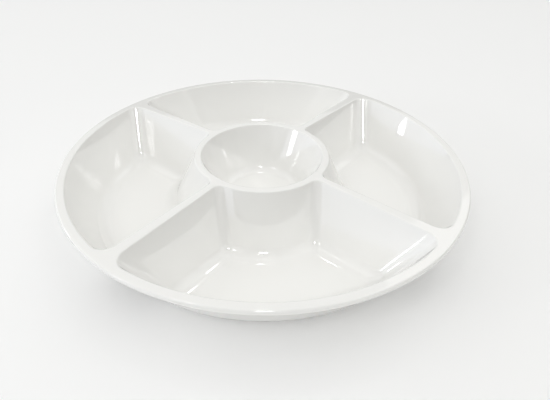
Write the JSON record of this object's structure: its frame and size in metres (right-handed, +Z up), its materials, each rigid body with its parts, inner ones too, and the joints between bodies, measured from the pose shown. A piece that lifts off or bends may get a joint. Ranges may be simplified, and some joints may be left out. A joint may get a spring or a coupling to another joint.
{
  "type": "chip and dip server",
  "caption": "Round one-piece serving tray with a raised central dip cup and drafted snack compartments around it, parted by radial dividers that join the cup's ring to a flat rim.",
  "frame": {"origin": "on the resting plane, under the middle of the dip cup", "axes": "+Z up along the axis of the dip cup and the round rim; the dividers lie midway between X and Y, so each compartment is centred on +X, +Y, -X or -Y"},
  "size_m": [0.305, 0.305, 0.045],
  "materials": {
    "white_plastic": "gloss"
  },
  "bodies": {
    "root": {"rim": "white_plastic", "dip_cup": "white_plastic", "front_compartment": "white_plastic", "right_compartment": "white_plastic", "back_compartment": "white_plastic", "left_compartment": "white_plastic"}
  },
  "joints": []
}
